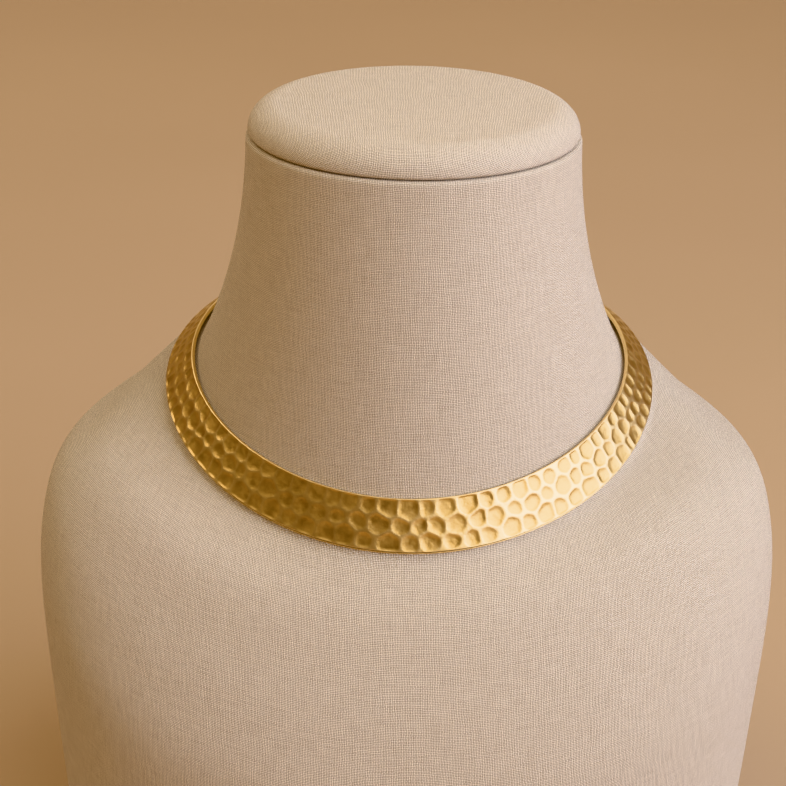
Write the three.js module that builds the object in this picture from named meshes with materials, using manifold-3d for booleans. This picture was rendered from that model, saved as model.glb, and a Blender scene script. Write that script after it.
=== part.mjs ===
// A rigid hammered collar choker on a linen-covered neck bust.
// Millimetres, +Z up, the front towards -Y, the origin at the middle of the bust's flat base.
import * as THREE from "three";
import { mergeVertices } from "three/addons/utils/BufferGeometryUtils.js";
import Module from "manifold-3d";

const degrees = THREE.MathUtils.degToRad;
const wasm = await Module();
wasm.setup();

// Collar: the driving sizes
const openingWidth = 130; // inside the upper edge, side to side at its widest
const openingFront = 61; // from the widest line to the throat
const openingBack = 46; // from the widest line to the nape
const bandWidthFront = 15.4; // down the slope, at the throat
const bandWidthBack = 10.2; // down the slope, at the nape
const plateThickness = 1.2;
const bandFlare = degrees(40); // the band leans out from the collar's own axis
const collarTilt = degrees(22); // the throat hangs lower than the nape
const collarHeight = 160; // widest line of the upper edge, above the base
const collarSetback = 4; // the widest line lies this far behind the bust's middle
const edgeChamfer = 0.25; // broken corners along the upper edge
const lipThickness = 0.45; // thin lip that shows below the hammered face
const lipWidth = 0.6;

// Hammer marks: the driving sizes
const markRows = 3;
const marksPerRow = 94; // all the way round; marks shrink with the band's width
const markDepth = 0.42;
const markDepthVariation = 0.2; // share of the depth
const markJitter = 0.09; // how far marks and ridges stray, as a share of a mark's height
const rimMargin = 0.8; // smooth strip along the upper edge
const lowerMargin = 0.35; // smooth strip along the lower edge
const plainEnd = 9; // length without marks at each end, inside the clasp

// Clasp: the driving sizes
const endGap = 1; // between the band's two ends
const claspLength = 13;
const claspWall = 0.8;
const claspClearance = 0.3;

// Neck bust: the driving sizes
const torsoWidth = 224;
const torsoDepth = 160;
const neckTopDiameter = 97.6;
const neckRise = 71.6; // top of the neck above the collar's widest line
const neckForward = 8; // middle of the neck's top in front of the collar's widest line
const neckFlarePower = 2; // how late the neck spreads on its way down
const neckTiltPower = 1.3; // how soon its sections turn level on their way up
const seatClearance = 0.3; // between the collar and the bust, at the throat
const sideClearance = 0.9; // added between the upper edge and the neck, at the sides
const napeClearance = 2.6; // added at the nape, for the clasp
const seatExtra = 1; // the seat runs this far past the band's lower edge
const neckEdgeRadius = 1.2;
const baseEdgeRadius = 2;

// Cap: the driving sizes
const capDiameter = 96.4;
const capThickness = 8.8;
const capCrown = 1.2; // the padded top swells by this much in the middle
const capEdgeDepth = 7.6; // height of the rounded upper edge
const capEdgeReach = 9; // how far the rounding comes in
const capLowerRound = 1.2; // the edge turns in at the seam
const capGap = 0.3;

// Torso sections below the collar. Widths are shares of the half width, front and back of the half
// depth, heights of the collar's height, and squareness is the exponent of the section's outline.
const torsoSections = [
  { width: 0.84, front: 0.83, back: 0.93, sideHeight: 0.855, frontHeight: 0.66, backHeight: 0.975, squareness: 2.1 },
  { width: 0.945, front: 0.91, back: 0.985, sideHeight: 0.8, frontHeight: 0.54, backHeight: 0.86, squareness: 2.25 },
  { width: 0.99, front: 0.965, back: 1.0, sideHeight: 0.715, frontHeight: 0.43, backHeight: 0.68, squareness: 2.4 },
  { width: 1.0, front: 1.0, back: 0.99, sideHeight: 0.58, frontHeight: 0.31, backHeight: 0.47, squareness: 2.5 },
  { width: 0.97, front: 0.975, back: 0.96, sideHeight: 0.3, frontHeight: 0.17, backHeight: 0.25, squareness: 2.5 },
  { width: 0.93, front: 0.94, back: 0.93, sideHeight: 0, frontHeight: 0, backHeight: 0, squareness: 2.5 },
];

// How finely the curved surfaces are divided
const bustSegments = 60;
const neckSteps = 8;
const seatSteps = 2;
const torsoStepsPerSection = 3;
const capSegments = 60;
const capEdgeSteps = 6;

// The collar's upper edge is an egg-shaped curve, deeper towards the throat. An angle round it is 0
// at the throat, 90 degrees at the side with the larger X, and 180 degrees at the nape.
const halfWidth = openingWidth / 2;
const halfDepth = (openingFront + openingBack) / 2;
const eggShift = (openingFront - openingBack) / 2;

function edgeAt(angle) {
  const forward = Math.cos(angle);
  return new THREE.Vector3(
    halfWidth * Math.sin(angle),
    -(halfDepth + eggShift * forward) * forward,
    0,
  );
}

function outwardAt(angle) {
  const forward = Math.cos(angle);
  return new THREE.Vector3(
    (halfDepth + 2 * eggShift * forward) * Math.sin(angle),
    -halfWidth * forward,
    0,
  ).normalize();
}

// From the collar's own frame to the part's frame.
const collarPlacement = new THREE.Matrix4()
  .makeRotationX(collarTilt)
  .setPosition(0, collarSetback, collarHeight);

// The point that lies a way down the band's slope and a height off its inner face.
function bandPoint(angle, down, off) {
  const outward = outwardAt(angle);
  const slope = outward.clone().multiplyScalar(Math.sin(bandFlare));
  slope.z = -Math.cos(bandFlare);
  const normal = outward.multiplyScalar(Math.cos(bandFlare));
  normal.z = Math.sin(bandFlare);
  return edgeAt(angle)
    .addScaledVector(slope, down)
    .addScaledVector(normal, off)
    .applyMatrix4(collarPlacement);
}

// The band narrows smoothly from the throat to the nape.
function bandWidthAt(angle) {
  return (bandWidthFront + bandWidthBack + (bandWidthFront - bandWidthBack) * Math.cos(angle)) / 2;
}

// Lengths along the band are taken at the nape, where this is its length for each radian.
const bandRadius = halfWidth + (bandWidthBack * Math.sin(bandFlare)) / 2;
const endAngle = Math.PI - endGap / 2 / bandRadius;
const markedAngle = endAngle - plainEnd / bandRadius;

// Equal steps from -1 to 1 give lengths along the band in proportion to its width there.
const taper = Math.sqrt(bandWidthFront / bandWidthBack);
const endTurn = Math.atan(Math.tan(endAngle / 2) / taper);

function angleAtShare(share) {
  return 2 * Math.atan(taper * Math.tan(share * endTurn));
}

// Repeatable numbers from -1 to 1.
function makeSpread(seed) {
  let state = seed;
  return () => {
    state = (state * 16807) % 2147483647;
    return (2 * state) / 2147483647 - 1;
  };
}

// The hammered face is a net of lines along the band, numbered from 0 at the smooth rim. Odd lines
// run through the middles of the marks, even lines along the ridges. Neighbouring rows of marks are
// half a mark apart, so that the ridges between them zigzag round hexagons.
const bandSteps = 2 * marksPerRow;
const netLines = 2 * markRows + 1;
const firstNetPoint = 3;

function isMarkMiddle(step, line) {
  return line % 2 === 1 && (step + (line - 1) / 2) % 2 === 0;
}

function zigzag(step, line) {
  if (line % 2 === 1 || line === 0 || line === netLines - 1) return 0;
  return isMarkMiddle(step, line - 1) ? 1 : -1;
}

// The band's cross-section at a step along it, as points round its outline.
function bandRing(step, spread) {
  const angle = angleAtShare((2 * step) / bandSteps - 1);
  const width = bandWidthAt(angle);
  const marked = Math.abs(angle) < markedAngle;
  const markHeight = (width - rimMargin - lowerMargin) / markRows;
  const points = [
    bandPoint(angle, 0, 0),
    bandPoint(angle, 0, plateThickness - edgeChamfer),
    bandPoint(angle, edgeChamfer, plateThickness),
  ];
  for (let line = 0; line < netLines; line++) {
    const strays = marked && line > 0 && line < netLines - 1;
    const stray = strays ? markJitter * markHeight : 0;
    const across = rimMargin + markHeight * (line / 2 + zigzag(step, line) / 6) + stray * spread();
    const sunk = marked && isMarkMiddle(step, line);
    const depth = sunk ? markDepth * (1 + markDepthVariation * spread()) : 0;
    points.push(bandPoint(angle + (stray * spread()) / bandRadius, across, plateThickness - depth));
  }
  points.push(
    bandPoint(angle, width, plateThickness - edgeChamfer),
    bandPoint(angle, width, lipThickness),
    bandPoint(angle, width + lipWidth, lipThickness),
    bandPoint(angle, width + lipWidth, 0),
  );
  return points;
}

// One closed solid through rings of points that correspond, with flat ends. Each four-sided face
// is split between its second and third corners, or its first and fourth where told to.
function loft(rings, endTriangles, splitsFromFirst = () => false) {
  const count = rings[0].length;
  const indices = [];
  for (let ring = 0; ring + 1 < rings.length; ring++) {
    for (let i = 0; i < count; i++) {
      const a = ring * count + i;
      const b = ring * count + ((i + 1) % count);
      if (splitsFromFirst(ring, i)) {
        indices.push(a, b, b + count, a, b + count, a + count);
      } else {
        indices.push(a, b, a + count, b, b + count, a + count);
      }
    }
  }
  const last = (rings.length - 1) * count;
  for (const [a, b, c] of endTriangles) {
    indices.push(c, b, a, last + a, last + b, last + c);
  }
  const geometry = new THREE.BufferGeometry().setFromPoints(rings.flat());
  geometry.setIndex(signedVolume(rings.flat(), indices) < 0 ? indices.reverse() : indices);
  return geometry;
}

function signedVolume(points, indices) {
  let volume = 0;
  const cross = new THREE.Vector3();
  for (let i = 0; i < indices.length; i += 3) {
    cross.crossVectors(points[indices[i + 1]], points[indices[i + 2]]);
    volume += points[indices[i]].dot(cross) / 6;
  }
  return volume;
}

// Triangles that fill a flat outline, by its points' numbers in the outline's own order.
function fill(outline) {
  const contour = outline.map(([x, y]) => new THREE.Vector2(x, y));
  const triangles = THREE.ShapeUtils.triangulateShape(contour, []);
  return triangles.map((triangle) => triangle.sort((a, b) => a - b));
}

// Splits meet at the middles of the marks.
function splitsAtMark(step, point) {
  const line = point - firstNetPoint;
  if (line < 0 || line >= netLines - 1) return false;
  return isMarkMiddle(step, line) || isMarkMiddle(step + 1, line + 1);
}

function collarBandGeometry() {
  const spread = makeSpread(11);
  const rings = [];
  for (let step = 0; step <= bandSteps; step++) {
    rings.push(bandRing(step, spread));
  }
  // The ends lie in a lengthwise plane, so their outline is read without its sideways part.
  const outline = rings[0].map((point) => [point.y, point.z]);
  return loft(rings, fill(outline), splitsAtMark);
}

// The solid's merged points and triangles, for joining and cutting.
function toManifold(geometry) {
  const plain = geometry.clone();
  plain.deleteAttribute("normal");
  plain.deleteAttribute("uv");
  const merged = mergeVertices(plain, 1e-4);
  return new wasm.Manifold(
    new wasm.Mesh({
      numProp: 3,
      vertProperties: merged.attributes.position.array,
      triVerts: new Uint32Array(merged.index.array),
    }),
  );
}

function fromManifold(solid) {
  const mesh = solid.getMesh();
  return new THREE.BufferGeometry()
    .setAttribute("position", new THREE.BufferAttribute(new Float32Array(mesh.vertProperties), 3))
    .setIndex(new THREE.BufferAttribute(new Uint32Array(mesh.triVerts), 1));
}

// A box bent along the band at the nape: how far it reaches to each side, and how much it stands
// off the band's plain end all round.
function napeBox(reach, grow) {
  const steps = 6;
  const depth = bandWidthAt(Math.PI) + lipWidth;
  const outline = [
    [-grow, -grow],
    [-grow, plateThickness + grow],
    [depth + grow, plateThickness + grow],
    [depth + grow, -grow],
  ];
  const rings = [];
  for (let i = 0; i <= steps; i++) {
    const angle = Math.PI + THREE.MathUtils.lerp(-reach, reach, i / steps) / bandRadius;
    rings.push(outline.map(([down, off]) => bandPoint(angle, down, off)));
  }
  return toManifold(loft(rings, fill(outline)));
}

// A plain sleeve over the band's two ends.
function claspGeometry() {
  const outside = napeBox(claspLength / 2, claspClearance + claspWall);
  const inside = napeBox(claspLength, claspClearance);
  return fromManifold(outside.subtract(inside));
}

// The bust is a loft of rings, each with its points at these angles from the throat.
const bustAngles = Array.from({ length: bustSegments }, (_, i) => (2 * Math.PI * i) / bustSegments);

// A ring under the collar follows the band's inner face with room between them: 0 at the upper
// edge, 1 past the lower edge.
function seatRing(share) {
  return bustAngles.map((angle) => {
    const atSides = Math.sin(angle) ** 2 * (1 - share);
    const atNape = ((1 - Math.cos(angle)) / 2) ** 4;
    const room = seatClearance + sideClearance * atSides;
    const point = bandPoint(angle, share * (bandWidthFront + seatExtra), -room);
    return point.setY(point.y - napeClearance * atNape);
  });
}

// The neck spreads from its round, level top, 1, to the seat's upper ring, 0.
function neckRing(share) {
  const radius = neckTopDiameter / 2;
  const topHeight = collarHeight + neckRise;
  const spread = (1 - share) ** neckFlarePower;
  const tilt = (1 - share) ** neckTiltPower;
  return seatRing(0).map((seat, i) => {
    const topX = radius * Math.sin(bustAngles[i]);
    const topY = collarSetback - neckForward - radius * Math.cos(bustAngles[i]);
    return new THREE.Vector3(
      THREE.MathUtils.lerp(topX, seat.x, spread),
      THREE.MathUtils.lerp(topY, seat.y, spread),
      THREE.MathUtils.lerp(collarHeight, topHeight, share) + (seat.z - collarHeight) * tilt,
    );
  });
}

// A row of the torso table as a ring. Its height runs smoothly from front to sides to back.
function torsoRing(row) {
  const power = 2 / row.squareness;
  const shaped = (value) => Math.sign(value) * Math.abs(value) ** power;
  return bustAngles.map((angle) => {
    const side = shaped(Math.sin(angle));
    const back = -shaped(Math.cos(angle));
    const depth = back < 0 ? row.front : row.back;
    const endHeight = back < 0 ? row.frontHeight : row.backHeight;
    const height = THREE.MathUtils.lerp(row.sideHeight, endHeight, back * back);
    return new THREE.Vector3(
      (row.width * torsoWidth * side) / 2,
      (depth * torsoDepth * back) / 2,
      height * collarHeight,
    );
  });
}

// Rings from one given ring up to the next, on smooth curves through the points of all of them.
function ringsBetween(given, i, steps) {
  const at = (k) => given[THREE.MathUtils.clamp(k, 0, given.length - 1)];
  const made = [];
  for (let step = 0; step < steps; step++) {
    const t = step / steps;
    made.push(
      bustAngles.map((_, k) => {
        const slopeIn = at(i + 1)[k].clone().sub(at(i - 1)[k]).divideScalar(2);
        const slopeOut = at(i + 2)[k].clone().sub(at(i)[k]).divideScalar(2);
        return new THREE.Vector3()
          .addScaledVector(at(i)[k], 2 * t ** 3 - 3 * t ** 2 + 1)
          .addScaledVector(slopeIn, t ** 3 - 2 * t ** 2 + t)
          .addScaledVector(at(i + 1)[k], 3 * t ** 2 - 2 * t ** 3)
          .addScaledVector(slopeOut, t ** 3 - t ** 2);
      }),
    );
  }
  return made;
}

// The same ring, smaller all round and lifted, for the rounded edges at the top and the base.
function insetRing(ring, by, lift) {
  const middle = new THREE.Vector3();
  for (const point of ring) {
    middle.addScaledVector(point, 1 / ring.length);
  }
  return ring.map((point) => {
    const radius = Math.hypot(point.x - middle.x, point.y - middle.y);
    const moved = point.clone().lerp(middle, by / radius);
    return moved.setZ(point.z + lift);
  });
}

function bustGeometry() {
  const top = neckRing(1);
  const rings = [
    insetRing(top, neckEdgeRadius, 0),
    insetRing(top, 0.3 * neckEdgeRadius, -0.3 * neckEdgeRadius),
    insetRing(top, 0, -neckEdgeRadius),
  ];
  for (let i = neckSteps - 1; i > 0; i--) {
    rings.push(neckRing(i / neckSteps));
  }
  for (let i = 0; i < seatSteps; i++) {
    rings.push(seatRing(i / seatSteps));
  }
  const given = [seatRing(1 - 1 / seatSteps), seatRing(1), ...torsoSections.map(torsoRing)];
  for (let i = 1; i + 1 < given.length; i++) {
    rings.push(...ringsBetween(given, i, torsoStepsPerSection));
  }
  const base = given[given.length - 1];
  rings.push(
    insetRing(base, 0, baseEdgeRadius),
    insetRing(base, 0.3 * baseEdgeRadius, 0.3 * baseEdgeRadius),
    insetRing(base, baseEdgeRadius, 0),
  );
  return loft(rings, fill(rings[0].map((point) => [point.x, point.y])));
}

// A padded disc with a full round edge, turned about its own axis.
function capGeometry() {
  const radius = capDiameter / 2;
  const profile = [
    new THREE.Vector2(0, 0),
    new THREE.Vector2(radius - capLowerRound, 0),
    new THREE.Vector2(radius - 0.3 * capLowerRound, 0.3 * capLowerRound),
  ];
  for (let i = 0; i <= capEdgeSteps; i++) {
    const turn = ((Math.PI / 2) * i) / capEdgeSteps;
    const x = radius - capEdgeReach * (1 - Math.cos(turn));
    const y = capThickness - capEdgeDepth * (1 - Math.sin(turn));
    profile.push(new THREE.Vector2(x, y));
  }
  for (const share of [0.66, 0.33]) {
    const x = share * (radius - capEdgeReach);
    profile.push(new THREE.Vector2(x, capThickness + capCrown * (1 - share * share)));
  }
  profile.push(new THREE.Vector2(0, capThickness + capCrown));
  const geometry = new THREE.LatheGeometry(profile, capSegments);
  geometry.rotateX(Math.PI / 2);
  return geometry;
}

const gold = new THREE.MeshStandardMaterial({ color: 0xd9a441, metalness: 1, roughness: 0.28 });
const linen = new THREE.MeshStandardMaterial({ color: 0xcdb59a, metalness: 0, roughness: 0.95 });

function piece(name, geometry, material) {
  const mesh = new THREE.Mesh(geometry, material);
  mesh.name = name;
  return mesh;
}

const part = new THREE.Group();
const necklace = new THREE.Group();
necklace.add(piece("collar_band", collarBandGeometry(), gold));
necklace.add(piece("clasp", claspGeometry(), gold));
const bust = new THREE.Group();
bust.add(piece("neck_bust", bustGeometry(), linen));
const cap = piece("neck_cap", capGeometry(), linen);
cap.position.set(0, collarSetback - neckForward, collarHeight + neckRise + capGap);
bust.add(cap);
part.add(necklace, bust);

export default part;
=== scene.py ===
# A hammered gold collar choker on a linen-covered neck bust, in soft light from the right.
# Metres, +Z up, the throat towards -Y.
import math

import bpy
import numpy as np
from mathutils import Matrix, Vector


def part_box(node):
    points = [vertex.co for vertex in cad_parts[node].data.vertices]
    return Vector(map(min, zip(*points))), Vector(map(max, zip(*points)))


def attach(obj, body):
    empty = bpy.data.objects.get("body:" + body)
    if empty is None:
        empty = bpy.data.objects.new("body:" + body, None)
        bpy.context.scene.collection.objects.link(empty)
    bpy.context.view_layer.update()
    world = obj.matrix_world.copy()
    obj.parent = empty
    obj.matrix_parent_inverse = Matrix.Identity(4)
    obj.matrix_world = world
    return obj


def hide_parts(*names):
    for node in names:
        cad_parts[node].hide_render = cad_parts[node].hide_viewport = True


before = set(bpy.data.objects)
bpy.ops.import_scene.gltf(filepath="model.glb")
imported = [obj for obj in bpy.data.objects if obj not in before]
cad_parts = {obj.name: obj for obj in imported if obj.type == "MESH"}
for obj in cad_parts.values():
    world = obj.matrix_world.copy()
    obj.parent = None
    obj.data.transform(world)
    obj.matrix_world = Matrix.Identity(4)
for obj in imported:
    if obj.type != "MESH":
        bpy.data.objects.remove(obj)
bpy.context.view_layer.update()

MM = 0.001
RIGHT_ANGLE = math.pi / 2
rng = np.random.default_rng(11)

# Where things are, read from the frame
bust_low, bust_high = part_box("neck_bust")
cap_low, cap_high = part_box("neck_cap")

# Collar: the same driving sizes as its solid
OPENING_WIDTH = 130 * MM
OPENING_FRONT = 61 * MM
OPENING_BACK = 46 * MM
BAND_WIDTH_FRONT = 15.4 * MM
BAND_WIDTH_BACK = 10.2 * MM
PLATE_THICKNESS = 1.2 * MM
BAND_FLARE = math.radians(40)
COLLAR_TILT = math.radians(22)
COLLAR_HEIGHT = 160 * MM
COLLAR_SETBACK = 4 * MM
LIP_THICKNESS = 0.45 * MM
LIP_WIDTH = 0.6 * MM
END_GAP = 1 * MM

# Collar: its softened edges, and the groove between the hammered face and the lip
UPPER_ROUND = 0.3 * MM
LOWER_ROUND = 0.18 * MM
INNER_ROUND = 0.15 * MM
STEP_HEIGHT = 0.1 * MM
GROOVE_WIDTH = 0.2 * MM
GROOVE_DEPTH = 0.05 * MM

# Hammer marks
MARK_ROWS = 3
MARKS_PER_ROW = 94
MARK_DEPTH = 0.36 * MM
MARK_DEPTHS = (0.75, 1.15)  # least and most, as shares of the depth
MARK_SPACING = 0.365  # share of the band's width
MARK_RADIUS = 0.6  # share of the spacing
MARK_SIZES = (0.82, 1.2)  # least and most, as shares of the radius
STRAY_ALONG = 0.17  # share of the spacing
STRAY_ACROSS = 0.11  # share of a row's height
SECOND_BLOWS = 0.13  # share of the marks that a smaller mark lies across
SECOND_STRAY, SECOND_SIZE, SECOND_DEPTH = 0.5, 0.62, 1.05  # shares of the first mark's own
STRENGTH_ANGLES = np.radians((-50, -38, -20, 2))
STRENGTHS = (0.7, 0.55, 0.5, 1)  # the marks are faint in a stretch left of the throat
HOLLOW_WIDTH = 1.9 * MM  # from a mark's ridge to the flat of its floor
HOLLOW_POWER = 2.6
RIDGE_WIDTH = 0.1 * MM
RIDGE_ROUND = 0.18 * MM
CORNER_ROUND = 0.36 * MM
# Down to this depth the ridges are smoother and painted paler, a painted highlight.
POLISH_AND_HIGHLIGHT_DEPTH = 0.28 * MARK_DEPTH  # the ridges shine down to here
RIM_MARGIN = 0.4 * MM
LOWER_MARGIN = 0.35 * MM
PLAIN_END = 9 * MM
NEAR_GAP, FAR_GAP = 0.6, 2.5  # neighbours this far off, in a mark's own radii, bound its cell

# Neck bust
NECK_TOP_DIAMETER = 97.6 * MM
NECK_FORWARD = 8 * MM
NECK_FLARE_POWER = 2
NECK_TILT_POWER = 1.3
SEAT_CLEARANCE = 0.3 * MM
SIDE_CLEARANCE = 0.9 * MM
NAPE_CLEARANCE = 2.6 * MM
SEAT_EXTRA = 1 * MM
NECK_EDGE_RADIUS = 1.2 * MM
BASE_EDGE_RADIUS = 2 * MM
NECK_TOP = bust_high.z
TORSO_WIDTH = bust_high.x - bust_low.x
TORSO_DEPTH = bust_high.y - bust_low.y

# Torso sections below the collar. Widths are shares of the half width, front and back of the half
# depth, heights of the collar's height, and squareness is the exponent of the section's outline.
TORSO_COLUMNS = ("width", "front", "back", "side_height", "front_height", "back_height", "squareness")
TORSO_ROWS = (
    (0.84, 0.83, 0.93, 0.855, 0.66, 0.975, 2.1),
    (0.945, 0.91, 0.985, 0.8, 0.54, 0.86, 2.25),
    (0.99, 0.965, 1.0, 0.715, 0.43, 0.68, 2.4),
    (1.0, 1.0, 0.99, 0.58, 0.31, 0.47, 2.5),
    (0.97, 0.975, 0.96, 0.3, 0.17, 0.25, 2.5),
    (0.93, 0.94, 0.93, 0, 0, 0, 2.5),
)

# Cap: how its padding is rounded
CAP_CROWN = 1.2 * MM
CAP_EDGE_DEPTH = 7.6 * MM
CAP_EDGE_REACH = 9 * MM
CAP_LOWER_ROUND = 1.2 * MM

# Clasp
CLASP_BEVEL = 0.3 * MM

# Linen. Scales say how often something changes in a metre.
WARP_PITCH = 0.47 * MM
WEFT_PITCH = 0.5 * MM
WANDER_SCALES = (70, 55)
SLOW_WANDER = 1.1 * MM
QUICK_WANDER = 0.42 * MM
SLUB_SCALE = 140
THREAD_SIZES = (0.72, 1.09)  # thinnest and thickest, as shares of the usual thread
WEFT_LIFT = 0.75  # the weft lies this high where the warp lies 1 high
FIBRE_SCALE = 7000
FIBRE_SHARE = 0.45
WEAVE_HEIGHT = 0.1 * MM
CLOTH_CLOUD_SCALE = 25

# Gold
PATCH_SCALE = 350
DIMPLE_SCALE = 800
DIMPLE_SHARE = 4
GRAIN_SCALE = 2600
GRAIN_SHARE = 0.6
GRAIN_HEIGHT = 0.02 * MM
FLOOR_ROUGHNESS = (0.3, 0.44)
RIDGE_ROUGHNESS = 0.34

# Colours
LINEN_GAP_SHADE = (0.2, 0.132, 0.076, 1)
LINEN_PALE = (1.0, 0.88, 0.69, 1)
LINEN_CLOUD = (0.72, 0.59, 0.44, 1)
FLOOR_DEEP = (0.62, 0.415, 0.155, 1)
FLOOR_PALE = (0.82, 0.58, 0.235, 1)
RIDGE_HIGHLIGHT_GOLD = (0.96, 0.74, 0.38, 1)
GROOVE_SHADE_AND_TARNISH = (0.02, 0.01, 0.004, 1)
STAGE_DEEP = (0.45, 0.315, 0.19, 1)
STAGE_PALE = (0.5, 0.355, 0.22, 1)
ROOM_LOW = (0.14, 0.082, 0.026, 1)
ROOM_HIGH = (0.93, 0.77, 0.57, 1)

# Stage, in metres: half its width, the bend's radius, and how far back and high its wall stands
STAGE_REACH, STAGE_BEND, STAGE_BACK, STAGE_TOP = 20.0, 0.7, 1.9, 3.2

# Soft lights round the throat. Turns are measured from the front to the right.
LIGHT_COLUMNS = ("name", "turn", "elevation", "distance", "size", "brightness", "colour")
LIGHT_ROWS = (
    ("window", 60, 20, 1.5, (1.5, 1.1), 3.7, (0.9, 1.0, 1.36)),
    ("front_panel", 23, 22, 1.6, (0.7, 1.0), 1.4, (1.0, 0.89, 0.69)),
    ("side_panel", 98, 20, 1.5, (0.5, 0.9), 0.5, (1.0, 0.95, 0.88)),
    ("right_top", 60, 63, 1.4, (1.1, 0.9), 2.0, (0.9, 0.98, 1.12)),
    ("left_fill", -100, 46, 1.4, (1.2, 1.0), 1.5, (1.0, 0.85, 0.66)),
    ("back_fill", 180, 24, 1.4, (1.4, 0.8), 0.7, (1.0, 0.9, 0.76)),
)

# Camera
CAMERA_ELEVATION = math.radians(22)
CAMERA_ROLL = math.radians(0.9)
CAMERA_DISTANCE = 793 * MM
CAMERA_LENS = 119.1
CAMERA_SENSOR = 36
AIM_LEFT = 4.89 * MM  # the camera aims this far left of the bust's middle
AIM_BELOW = 13.2 * MM  # and this far below the collar's widest line

# How finely the surfaces are divided
BAND_STEPS = 1240
FACE_STEPS = 52
BUST_SEGMENTS = 240
NECK_RINGS, SEAT_RINGS, TORSO_RINGS = 64, 16, 18
CAP_SEGMENTS = 200


def mesh_object(name, points, faces):
    mesh = bpy.data.meshes.new(name)
    mesh.from_pydata([tuple(p) for p in points], [], faces)
    mesh.validate()
    mesh.update()
    mesh.shade_smooth()
    made = bpy.data.objects.new(name, mesh)
    bpy.context.scene.collection.objects.link(made)
    return made


# Faces that join neighbouring rings of equally many points. Rings close on themselves.
def ring_faces(rings, count, flip=False):
    faces = []
    for ring in range(rings - 1):
        start = ring * count
        for i in range(count):
            j = (i + 1) % count
            face = (start + i, start + j, start + count + j, start + count + i)
            faces.append(face[::-1] if flip else face)
    return faces


# The collar's band

HALF_WIDTH = OPENING_WIDTH / 2
HALF_DEPTH = (OPENING_FRONT + OPENING_BACK) / 2
EGG_SHIFT = (OPENING_FRONT - OPENING_BACK) / 2
NAPE_RADIUS = HALF_WIDTH + BAND_WIDTH_BACK * math.sin(BAND_FLARE) / 2
END_ANGLE = math.pi - END_GAP / 2 / NAPE_RADIUS
MARKED_ANGLE = END_ANGLE - PLAIN_END / NAPE_RADIUS
TAPER = math.sqrt(BAND_WIDTH_FRONT / BAND_WIDTH_BACK)
END_TURN = math.atan(math.tan(END_ANGLE / 2) / TAPER)


# Equal steps from -1 to 1 give lengths along the band in proportion to its width there.
def angle_at_share(share):
    return 2 * np.arctan(TAPER * np.tan(share * END_TURN))


def band_width(angle):
    mean = (BAND_WIDTH_FRONT + BAND_WIDTH_BACK) / 2
    return mean + (BAND_WIDTH_FRONT - BAND_WIDTH_BACK) / 2 * np.cos(angle)


# Points that lie a way down the band's slope and a height off its inner face. The upper edge is an
# egg-shaped curve, deeper towards the throat, which is at angle 0.
def band_points(angle, down, off):
    forward = np.cos(angle)
    x = HALF_WIDTH * np.sin(angle)
    y = -(HALF_DEPTH + EGG_SHIFT * forward) * forward
    outward = np.stack([(HALF_DEPTH + 2 * EGG_SHIFT * forward) * np.sin(angle), -HALF_WIDTH * forward], -1)
    outward /= np.linalg.norm(outward, axis=-1, keepdims=True)
    reach = down * math.sin(BAND_FLARE) + off * math.cos(BAND_FLARE)
    x = x + outward[..., 0] * reach
    y = y + outward[..., 1] * reach
    z = -down * math.cos(BAND_FLARE) + off * math.sin(BAND_FLARE)
    c, s = math.cos(COLLAR_TILT), math.sin(COLLAR_TILT)
    return np.stack([x, y * c - z * s + COLLAR_SETBACK, y * s + z * c + COLLAR_HEIGHT], -1)


# Length along the band's middle line from the throat to each angle.
def lengths_along(angle):
    points = band_points(angle, band_width(angle) / 2, PLATE_THICKNESS + 0 * angle)
    steps = np.linalg.norm(np.diff(points, axis=0), axis=1)
    lengths = np.concatenate([[0], np.cumsum(steps)])
    return lengths - lengths[-1] / 2


# How strong the hammer marks are at an angle: 1 is their full depth and the full painted highlight on
# their ridges.
def mark_strength(angle):
    return np.interp(angle, STRENGTH_ANGLES, STRENGTHS)


# Hammer marks in staggered rows, each a little out of place and of its own size. Columns: place
# along the band, place across it, radius, depth.
def hammer_marks(angle, along):
    steps = 2 * MARKS_PER_ROW
    marks = []
    for row in range(MARK_ROWS):
        for step in range(row % 2, steps + 1, 2):
            place = float(angle_at_share(2 * step / steps - 1))
            if abs(place) > MARKED_ANGLE:
                continue
            width = float(band_width(place))
            spacing = MARK_SPACING * width
            height = (width - RIM_MARGIN - LOWER_MARGIN) / MARK_ROWS
            middle = np.interp(place, angle, along) + spacing * rng.uniform(-STRAY_ALONG, STRAY_ALONG)
            across = RIM_MARGIN + height * (row + 0.5 + rng.uniform(-STRAY_ACROSS, STRAY_ACROSS))
            radius = MARK_RADIUS * spacing * rng.uniform(*MARK_SIZES)
            depth = MARK_DEPTH * mark_strength(place) * rng.uniform(*MARK_DEPTHS)
            marks.append((middle, across, radius, depth))
            if rng.random() < SECOND_BLOWS:
                shift = rng.uniform(-SECOND_STRAY, SECOND_STRAY, 2) * radius
                second = (middle + shift[0], across + shift[1], SECOND_SIZE * radius, SECOND_DEPTH * depth)
                marks.append(second)
    return np.array(marks)


# Distance from each point to the edge of a mark's cell, which ends halfway to its neighbours or at
# its own radius. Corners are rounded by a smooth minimum.
def cell_edge(x, y, mark, marks):
    place, height, radius, _ = mark
    total = np.exp(-(radius - np.hypot(x, y)) / CORNER_ROUND)
    for other_place, other_height, other_radius, _ in marks:
        apart = (other_place - place, other_height - height)
        gap = math.hypot(*apart)
        if NEAR_GAP * radius < gap < FAR_GAP * radius:
            border = (gap**2 + radius**2 - other_radius**2) / (2 * gap)
            beyond = border - (x * apart[0] + y * apart[1]) / gap
            total += np.exp(-beyond / CORNER_ROUND)
    return -CORNER_ROUND * np.log(total)


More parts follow.
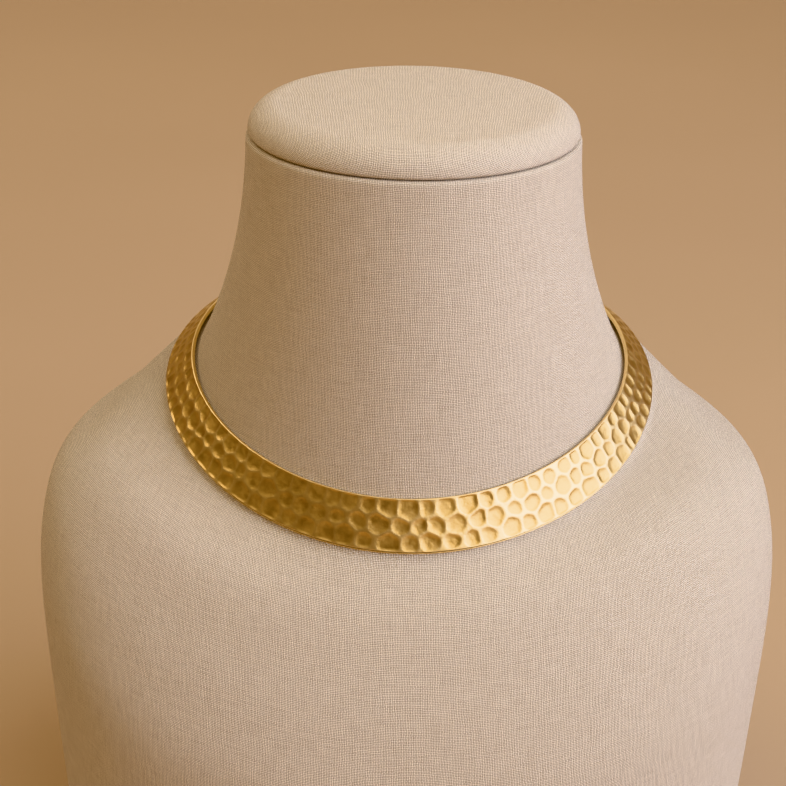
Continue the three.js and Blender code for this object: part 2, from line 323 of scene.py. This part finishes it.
# How deep the face lies below the plate's own face. Each mark is hollow up to a soft ridge, and both
# margins of the band are left smooth.
def mark_depths(along, across, width, marks):
    depths = np.zeros_like(across)
    for mark in marks:
        place, height, radius, depth = mark
        near = np.abs(along[:, 0] - place) < 1.2 * radius
        x, y = along[near] - place, across[near] - height
        edge = cell_edge(x, y, mark, marks[np.abs(marks[:, 0] - place) < 3 * radius])
        inside = np.maximum(edge - RIDGE_WIDTH / 2, 0)
        inside = np.hypot(inside, RIDGE_ROUND) - RIDGE_ROUND
        rise = np.clip(1 - inside / HOLLOW_WIDTH, 0, 1) ** HOLLOW_POWER
        depths[near] = np.maximum(depths[near], depth * (1 - rise))
    upper = np.clip((across - 0.45 * RIM_MARGIN) / RIM_MARGIN, 0, 1)
    lower = np.clip((width - across) / (2 * LOWER_MARGIN), 0, 1)
    fade = upper**2 * (3 - 2 * upper) * lower**2 * (3 - 2 * lower)
    return depths * fade


def collar_band():
    line = angle_at_share(np.linspace(-1, 1, BAND_STEPS + 1))
    lengths = lengths_along(line)
    marks = hammer_marks(line, lengths)
    angle, along = line[:, None], lengths[:, None]
    width = band_width(angle)
    spread = np.linspace(0, 1, FACE_STEPS + 1)[None, :]
    across = UPPER_ROUND + (width - UPPER_ROUND - LOWER_ROUND) * spread
    depths = mark_depths(along + 0 * across, across, width, marks)

    # Round the outline: up the inner face, over the upper edge, down the hammered face, over its
    # lower edge and round the lip. Each entry is a way down the slope and a height off the inside.
    zero = 0 * width
    quarter = np.linspace(0, RIGHT_ANGLE, 5)
    outline = []
    for down in (0.75, 0.5, 0.25):
        outline.append((down * width, zero))
    for turn in quarter:
        down = INNER_ROUND * (1 - math.sin(turn))
        outline.append((zero + down, zero + INNER_ROUND * (1 - math.cos(turn))))
    for turn in quarter[:-1]:
        down = UPPER_ROUND * (1 - math.cos(turn))
        outline.append((zero + down, zero + PLATE_THICKNESS - UPPER_ROUND * (1 - math.sin(turn))))
    face_start = len(outline)
    for i in range(FACE_STEPS + 1):
        outline.append((across[:, i : i + 1], PLATE_THICKNESS - depths[:, i : i + 1]))
    face_end = len(outline)
    for turn in quarter[1:]:
        down = width - LOWER_ROUND * (1 - math.sin(turn))
        outline.append((down, zero + PLATE_THICKNESS - LOWER_ROUND * (1 - math.cos(turn))))
    groove = len(outline)
    outline.append((width, zero + LIP_THICKNESS + STEP_HEIGHT))
    outline.append((width + GROOVE_WIDTH, zero + LIP_THICKNESS - GROOVE_DEPTH))
    half_lip = LIP_THICKNESS / 2
    for turn in np.linspace(-RIGHT_ANGLE, RIGHT_ANGLE, 6):
        down = width + LIP_WIDTH - half_lip * (1 - math.cos(turn))
        outline.append((down, zero + half_lip - half_lip * math.sin(turn)))

    down = np.concatenate([d for d, _ in outline], 1)
    off = np.concatenate([o for _, o in outline], 1)
    points = band_points(angle + 0 * down, down, off)
    count = down.shape[1]
    faces = ring_faces(BAND_STEPS + 1, count)
    last = BAND_STEPS * count
    faces.append(tuple(range(count))[::-1])
    faces.append(tuple(range(last, last + count)))
    made = mesh_object("collar_band_hammered", points.reshape(-1, 3), faces)

    # How polished each point is, and how much painted light it gets: ridges and edges are smooth with a
    # painted highlight at 1, the floors of the marks are satin at 0, and the groove above the lip gets
    # painted shade and tarnish at -1.
    strength = mark_strength(angle)
    hollow = np.clip(depths / (POLISH_AND_HIGHLIGHT_DEPTH * strength), 0, 1)
    polish_and_painted_light = np.ones(down.shape)
    polish_and_painted_light[:, face_start:face_end] = strength * (1 - hollow)
    # The groove above the lip is darkened: painted shade and tarnish.
    polish_and_painted_light[:, groove - 1 : groove + 2] = -1
    attribute = made.data.attributes.new("polish_and_painted_light", "FLOAT", "POINT")
    attribute.data.foreach_set("value", polish_and_painted_light.reshape(-1).astype(np.float32))
    return made


# The neck bust

# The bust is a loft of rings, each with its points at these angles, from the nape round by the throat.
BUST_ANGLES = np.linspace(-math.pi, math.pi, BUST_SEGMENTS + 1)


# A ring under the collar follows the band's inner face with room between them: 0 at the upper
# edge, 1 past the lower edge.
def seat_ring(share):
    at_sides = np.sin(BUST_ANGLES) ** 2 * (1 - share)
    at_nape = ((1 - np.cos(BUST_ANGLES)) / 2) ** 4
    room = SEAT_CLEARANCE + SIDE_CLEARANCE * at_sides
    ring = band_points(BUST_ANGLES, share * (BAND_WIDTH_FRONT + SEAT_EXTRA) + 0 * room, -room)
    ring[:, 1] -= NAPE_CLEARANCE * at_nape
    return ring


# The neck spreads from its round, level top, 1, to the seat's upper ring, 0.
def neck_ring(share):
    seat = seat_ring(0)
    radius = NECK_TOP_DIAMETER / 2
    spread = (1 - share) ** NECK_FLARE_POWER
    tilt = (1 - share) ** NECK_TILT_POWER
    top_x = radius * np.sin(BUST_ANGLES)
    top_y = COLLAR_SETBACK - NECK_FORWARD - radius * np.cos(BUST_ANGLES)
    x = top_x + (seat[:, 0] - top_x) * spread
    y = top_y + (seat[:, 1] - top_y) * spread
    z = COLLAR_HEIGHT + (NECK_TOP - COLLAR_HEIGHT) * share + (seat[:, 2] - COLLAR_HEIGHT) * tilt
    return np.stack([x, y, z], -1)


# A row of the torso table as a ring. Its height runs smoothly from front to sides to back.
def torso_ring(row):
    r = dict(zip(TORSO_COLUMNS, row))
    power = 2 / r["squareness"]
    side = np.sign(np.sin(BUST_ANGLES)) * np.abs(np.sin(BUST_ANGLES)) ** power
    back = -np.sign(np.cos(BUST_ANGLES)) * np.abs(np.cos(BUST_ANGLES)) ** power
    depth = np.where(back < 0, r["front"], r["back"])
    end_height = np.where(back < 0, r["front_height"], r["back_height"])
    height = r["side_height"] + (end_height - r["side_height"]) * back**2
    x = r["width"] * TORSO_WIDTH / 2 * side
    return np.stack([x, depth * TORSO_DEPTH / 2 * back, height * COLLAR_HEIGHT], -1)


# Rings from one given ring up to the next, on smooth curves through the points of all of them.
def rings_between(given, i, steps):
    last = len(given) - 1
    before, start, end, after = (given[min(k, last)] for k in range(i - 1, i + 3))
    slope_in, slope_out = (end - before) / 2, (after - start) / 2
    for t in np.linspace(0, 1, steps, endpoint=False):
        yield (
            (2 * t**3 - 3 * t**2 + 1) * start
            + (t**3 - 2 * t**2 + t) * slope_in
            + (3 * t**2 - 2 * t**3) * end
            + (t**3 - t**2) * slope_out
        )


# A ring drawn in towards its middle and lifted.
def inset_ring(ring, by, lift):
    middle = ring[:-1].mean(0)
    radius = np.linalg.norm(ring[:, :2] - middle[:2], axis=1)[:, None]
    moved = ring + (middle - ring) * by / radius
    moved[:, 2] = ring[:, 2] + lift
    return moved


def bust_rings():
    rings = []
    top = neck_ring(1)
    for turn in np.linspace(RIGHT_ANGLE, 0, 5, endpoint=False):
        inset = NECK_EDGE_RADIUS * (1 - math.cos(turn))
        rings.append(inset_ring(top, inset, -NECK_EDGE_RADIUS * (1 - math.sin(turn))))
    first = 1 - NECK_EDGE_RADIUS / (NECK_TOP - COLLAR_HEIGHT)
    rings.extend(neck_ring(share) for share in np.linspace(first, 0, NECK_RINGS, endpoint=False))
    rings.extend(seat_ring(share) for share in np.linspace(0, 1, SEAT_RINGS, endpoint=False))
    given = [seat_ring(0.5), seat_ring(1)] + [torso_ring(row) for row in TORSO_ROWS]
    for i in range(1, len(given) - 1):
        rings.extend(rings_between(given, i, TORSO_RINGS))
    base = given[-1]
    for turn in np.linspace(0, RIGHT_ANGLE, 6):
        inset = BASE_EDGE_RADIUS * (1 - math.cos(turn))
        rings.append(inset_ring(base, inset, BASE_EDGE_RADIUS * (1 - math.sin(turn))))
    return np.array(rings)


# Texture coordinates in metres of cloth: along each ring from the front, and down from the top.
def cloth_coordinates(rings):
    around = np.linalg.norm(np.diff(rings, axis=1), axis=-1)
    u = np.concatenate([np.zeros((len(rings), 1)), np.cumsum(around, 1)], 1)
    u -= u[:, rings.shape[1] // 2][:, None]
    downward = np.linalg.norm(np.diff(rings, axis=0), axis=-1)
    v = -np.concatenate([np.zeros((1, rings.shape[1])), np.cumsum(downward, 0)], 0)
    return np.stack([u, v], -1)


def set_coordinates(made, corners):
    layer = made.data.uv_layers.new(name="cloth")
    layer.data.foreach_set("uv", np.asarray(corners, np.float32).reshape(-1))


def neck_bust():
    rings = bust_rings()
    cloth = cloth_coordinates(rings)
    count = BUST_SEGMENTS
    faces = ring_faces(len(rings), count, flip=True)
    corners = []
    for ring in range(len(rings) - 1):
        for i in range(count):
            square = (cloth[ring, i], cloth[ring, i + 1], cloth[ring + 1, i + 1], cloth[ring + 1, i])
            corners.extend(square[::-1])
    last = (len(rings) - 1) * count
    faces.append(tuple(range(count)))
    corners.extend(rings[0, :count, :2])
    faces.append(tuple(range(last, last + count))[::-1])
    corners.extend(rings[-1, :count, :2][::-1])
    made = mesh_object("neck_bust_linen", rings[:, :-1].reshape(-1, 3), faces)
    set_coordinates(made, corners)
    return made


# The padded cap: a disc of cloth pulled over a round edge
def neck_cap():
    base, top = cap_low.z, cap_high.z
    radius = (cap_high.x - cap_low.x) / 2
    middle = Vector(((cap_high.x + cap_low.x) / 2, (cap_high.y + cap_low.y) / 2, 0))
    thickness = top - base - CAP_CROWN
    profile = []
    for turn in np.linspace(0, RIGHT_ANGLE, 7):
        x = radius - CAP_LOWER_ROUND * (1 - math.sin(turn))
        profile.append((x, CAP_LOWER_ROUND * (1 - math.cos(turn))))
    for turn in np.linspace(0, RIGHT_ANGLE, 25)[1:]:
        x = radius - CAP_EDGE_REACH * (1 - math.cos(turn))
        profile.append((x, thickness - CAP_EDGE_DEPTH * (1 - math.sin(turn))))
    for share in np.linspace(1, 0, 30, endpoint=False)[1:]:
        profile.append((share * (radius - CAP_EDGE_REACH), thickness + CAP_CROWN * (1 - share**2)))
    profile = np.array(profile)
    lengths = np.concatenate([[0], np.cumsum(np.linalg.norm(np.diff(profile, axis=0), axis=1))])
    reach = lengths[-1] + profile[-1, 0] - lengths
    angle = np.linspace(0, 2 * math.pi, CAP_SEGMENTS, endpoint=False)
    around = np.stack([np.sin(angle), -np.cos(angle)], -1)
    points, cloth = [], []
    for (x, height), length in zip(profile, reach):
        for direction in around:
            points.append((middle.x + x * direction[0], middle.y + x * direction[1], base + height))
            cloth.append(direction * length)
    count = CAP_SEGMENTS
    faces = ring_faces(len(profile), count)
    last = (len(profile) - 1) * count
    faces.append(tuple(range(count))[::-1])
    faces.append(tuple(range(last, last + count)))
    corners = [cloth[i] for face in faces for i in face]
    made = mesh_object("neck_cap_linen", points, faces)
    set_coordinates(made, corners)
    return made


# Materials

def new_material(name):
    material = bpy.data.materials.new(name)
    material.use_nodes = True
    tree = material.node_tree
    return material, tree, tree.nodes["Principled BSDF"]


# A node with the given settings, its inputs set to values or joined to other nodes' outputs.
def add(tree, kind, inputs=None, **settings):
    made = tree.nodes.new(kind)
    for name, value in settings.items():
        setattr(made, name, value)
    for name, value in (inputs or {}).items():
        if isinstance(value, bpy.types.NodeSocket):
            tree.links.new(value, made.inputs[name])
        else:
            made.inputs[name].default_value = value
    return made


def calculate(tree, operation, first, second=0.0):
    return add(tree, "ShaderNodeMath", {0: first, 1: second}, operation=operation).outputs[0]


def noise(tree, vector, scale, detail=2.0, roughness=0.5):
    inputs = {"Vector": vector, "Scale": scale, "Detail": detail, "Roughness": roughness}
    return add(tree, "ShaderNodeTexNoise", inputs).outputs["Fac"]


# Two colours or two numbers mixed. The node keeps each kind in sockets of its own.
def mix_colour(tree, factor, first, second):
    return add(tree, "ShaderNodeMix", {0: factor, 6: first, 7: second}, data_type="RGBA").outputs[2]


def mix_number(tree, factor, first, second):
    return add(tree, "ShaderNodeMix", {0: factor, 2: first, 3: second}, data_type="FLOAT").outputs[0]


# A factor that runs from start to end, stretched to run from low to high.
def stretch(tree, factor, low, high, start=0.0, end=1.0):
    inputs = {"Value": factor, "From Min": start, "From Max": end, "To Min": low, "To Max": high}
    return add(tree, "ShaderNodeMapRange", inputs).outputs[0]


# A thread's own thickness, which changes slowly along it. The threads are counted along the first
# coordinate for the warp and along the second for the weft, so the two don't change alike.
def thread_noise(tree, across, pitch, along, is_warp):
    count = calculate(tree, "MULTIPLY", across, 1 / pitch)
    run = calculate(tree, "MULTIPLY", along, SLUB_SCALE)
    ends = {0: count, 1: run} if is_warp else {0: run, 1: count}
    return noise(tree, add(tree, "ShaderNodeCombineXYZ", ends).outputs[0], 0.9, 2.0)


# Plain-woven linen: warp and weft threads that pass over and under each other, a little uneven.
def linen_material():
    material, tree, shader = new_material("linen")
    cloth = add(tree, "ShaderNodeUVMap", uv_map="cloth").outputs["UV"]
    parts = add(tree, "ShaderNodeSeparateXYZ", {"Vector": cloth})
    places = []
    for axis, scale in enumerate(WANDER_SCALES):
        slow = calculate(tree, "MULTIPLY", noise(tree, cloth, scale, 3.0), SLOW_WANDER)
        quick = calculate(tree, "MULTIPLY", noise(tree, cloth, 9 * scale, 2.0), QUICK_WANDER)
        moved = calculate(tree, "ADD", parts.outputs[axis], slow)
        places.append(calculate(tree, "ADD", moved, quick))
    u, v = places
    warp_wave = calculate(tree, "SINE", calculate(tree, "MULTIPLY", u, math.pi / WARP_PITCH))
    weft_wave = calculate(tree, "SINE", calculate(tree, "MULTIPLY", v, math.pi / WEFT_PITCH))
    over = calculate(tree, "MULTIPLY", warp_wave, weft_wave)
    warp_slub = thread_noise(tree, u, WARP_PITCH, v, True)
    weft_slub = thread_noise(tree, v, WEFT_PITCH, u, False)
    tops = []
    for wave, slub in ((warp_wave, warp_slub), (weft_wave, weft_slub)):
        round_top = calculate(tree, "ABSOLUTE", wave)
        size = stretch(tree, slub, *THREAD_SIZES, 0.3, 0.7)
        tops.append(calculate(tree, "MULTIPLY", round_top, size))
    warp_top, weft_top = tops
    warp_height = calculate(tree, "MULTIPLY", warp_top, calculate(tree, "ADD", over, 1.0))
    weft_height = calculate(tree, "MULTIPLY", weft_top, calculate(tree, "SUBTRACT", WEFT_LIFT, over))
    height = calculate(tree, "MAXIMUM", warp_height, weft_height)

    fibre = calculate(tree, "MULTIPLY", noise(tree, cloth, FIBRE_SCALE, 2.0), FIBRE_SHARE)
    rough_height = calculate(tree, "ADD", height, fibre)
    bump = add(tree, "ShaderNodeBump", {"Height": rough_height, "Strength": 1.0, "Distance": WEAVE_HEIGHT})
    tree.links.new(bump.outputs[0], shader.inputs["Normal"])

    # The colour follows the weave's height: painted shade in the gaps between threads, lighter on the
    # thread tops.
    shade = stretch(tree, rough_height, -0.3, 1.0, 0.1, 1.6)
    thread = mix_colour(tree, shade, LINEN_GAP_SHADE, LINEN_PALE)
    cloud = stretch(tree, noise(tree, cloth, CLOTH_CLOUD_SCALE, 4.0), 0.0, 0.2)
    colour = mix_colour(tree, cloud, thread, LINEN_CLOUD)
    tree.links.new(colour, shader.inputs["Base Color"])
    shader.inputs["Roughness"].default_value = 0.92
    shader.inputs["Specular IOR Level"].default_value = 0.25
    shader.inputs["Sheen Weight"].default_value = 0.12
    shader.inputs["Sheen Roughness"].default_value = 0.5
    return material


# Gold plating: satin floors in the hammer marks, smoother ridges and edges painted paler as a painted
# highlight.
# Gold without marks is patchy in the same way.
def gold_material(name, marked):
    material, tree, shader = new_material(name)
    place = add(tree, "ShaderNodeTexCoord").outputs["Object"]
    if marked:
        polish_and_painted_light = add(tree, "ShaderNodeAttribute", attribute_name="polish_and_painted_light").outputs["Fac"]
    else:
        polish_and_painted_light = stretch(tree, noise(tree, place, 400.0), 0.4, 0.8)
    cloud = noise(tree, place, PATCH_SCALE, 4.0)
    grain = noise(tree, place, GRAIN_SCALE, 3.0, 0.6)
    satin = stretch(tree, cloud, *FLOOR_ROUGHNESS, 0.3, 0.7)
    tree.links.new(mix_number(tree, polish_and_painted_light, satin, RIDGE_ROUGHNESS), shader.inputs["Roughness"])
    patch = stretch(tree, cloud, 0.0, 1.0, 0.25, 0.75)
    floor = mix_colour(tree, patch, FLOOR_DEEP, FLOOR_PALE)
    # Ridges and edges are mixed towards a paler gold: a painted highlight on top of their lower roughness.
    floor_and_ridge_highlight = mix_colour(tree, polish_and_painted_light, floor, RIDGE_HIGHLIGHT_GOLD)
    # Below 0 the colour darkens towards near black: painted shade and tarnish in the groove above the lip.
    groove_shade_and_tarnish = stretch(tree, polish_and_painted_light, 0.85, 0.0, -1.0, 0.0)
    colour = mix_colour(tree, groove_shade_and_tarnish, floor_and_ridge_highlight, GROOVE_SHADE_AND_TARNISH)
    tree.links.new(colour, shader.inputs["Base Color"])
    dimple = calculate(tree, "MULTIPLY", noise(tree, place, DIMPLE_SCALE, 1.0), DIMPLE_SHARE)
    height = calculate(tree, "ADD", calculate(tree, "MULTIPLY", grain, GRAIN_SHARE), dimple)
    bump = add(tree, "ShaderNodeBump", {"Height": height, "Strength": 1.0, "Distance": GRAIN_HEIGHT})
    tree.links.new(bump.outputs[0], shader.inputs["Normal"])
    shader.inputs["Metallic"].default_value = 1.0
    shader.inputs["Coat Weight"].default_value = 0.3
    shader.inputs["Coat Roughness"].default_value = 0.3
    return material


def stage_material():
    material, tree, shader = new_material("stage")
    place = add(tree, "ShaderNodeTexCoord").outputs["Object"]
    cloud = noise(tree, place, 3.0, 2.0)
    colour = mix_colour(tree, cloud, STAGE_DEEP, STAGE_PALE)
    tree.links.new(colour, shader.inputs["Base Color"])
    shader.inputs["Roughness"].default_value = 0.8
    return material


# Stage: a floor that curves up into a backdrop

def backdrop():
    profile = [(-STAGE_REACH, 0.0)]
    for turn in np.linspace(0, RIGHT_ANGLE, 16):
        y = STAGE_BACK - STAGE_BEND + STAGE_BEND * math.sin(turn)
        profile.append((y, STAGE_BEND * (1 - math.cos(turn))))
    profile.append((STAGE_BACK, STAGE_TOP))
    points = [(side, y, z) for y, z in profile for side in (-STAGE_REACH, STAGE_REACH)]
    faces = [(2 * i, 2 * i + 1, 2 * i + 3, 2 * i + 2) for i in range(len(profile) - 1)]
    made = mesh_object("backdrop", points, faces)
    made.data.materials.append(stage_material())


# A soft light that faces the throat
def softbox(name, turn, elevation, distance, size, brightness, colour):
    throat = Vector((0, 0, COLLAR_HEIGHT))
    turn, elevation = math.radians(turn), math.radians(elevation)
    flat = math.cos(elevation)
    away = Vector((flat * math.sin(turn), -flat * math.cos(turn), math.sin(elevation)))
    light = bpy.data.lights.new(name, "AREA")
    light.shape = "RECTANGLE"
    light.size, light.size_y = size
    light.energy = brightness * math.pi * size[0] * size[1]
    light.color = colour
    made = bpy.data.objects.new(name, light)
    made.location = throat + distance * away
    made.rotation_euler = (-away).to_track_quat("-Z", "Y").to_euler()
    bpy.context.scene.collection.objects.link(made)


def lights():
    for row in LIGHT_ROWS:
        softbox(**dict(zip(LIGHT_COLUMNS, row)))


# The room is dark and warm towards its walls and lighter overhead.
def room():
    world = bpy.data.worlds.new("room")
    world.use_nodes = True
    tree = world.node_tree
    direction = add(tree, "ShaderNodeTexCoord").outputs["Generated"]
    height = add(tree, "ShaderNodeSeparateXYZ", {"Vector": direction}).outputs[2]
    rise = stretch(tree, height, 0.0, 1.0, 0.25, 1.0)
    colour = mix_colour(tree, rise, ROOM_LOW, ROOM_HIGH)
    tree.links.new(colour, tree.nodes["Background"].inputs["Color"])
    bpy.context.scene.world = world


# Camera

def camera():
    target = Vector((-AIM_LEFT, COLLAR_SETBACK, COLLAR_HEIGHT - AIM_BELOW))
    data = bpy.data.cameras.new("camera")
    data.sensor_width = CAMERA_SENSOR
    data.lens = CAMERA_LENS
    data.clip_start = 10 * MM
    made = bpy.data.objects.new("camera", data)
    away = Vector((0, -math.cos(CAMERA_ELEVATION), math.sin(CAMERA_ELEVATION)))
    turn = (-away).to_track_quat("-Z", "Y").to_matrix() @ Matrix.Rotation(CAMERA_ROLL, 3, "Z")
    made.matrix_world = Matrix.Translation(target + CAMERA_DISTANCE * away) @ turn.to_4x4()
    bpy.context.scene.collection.objects.link(made)
    bpy.context.scene.camera = made


# Everything is put together

camera()
backdrop()
lights()
room()
bpy.context.scene.view_settings.view_transform = "Khronos PBR Neutral"

linen = linen_material()
gold = gold_material("hammered_gold", True)
plain_gold = gold_material("plain_gold", False)

for made, material, node, slot in (
    (collar_band(), gold, "collar_band", "gold"),
    (neck_bust(), linen, "neck_bust", "linen"),
    (neck_cap(), linen, "neck_cap", "linen"),
):
    made.data.materials.append(material)
    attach(made, "root")
    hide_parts(node)

# The clasp is its own solid with softened edges.
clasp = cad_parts["clasp"]
clasp.data.materials.clear()
clasp.data.materials.append(plain_gold)
bevel = clasp.modifiers.new("soft_edges", "BEVEL")
bevel.width = CLASP_BEVEL
bevel.segments = 3
bevel.limit_method = "ANGLE"
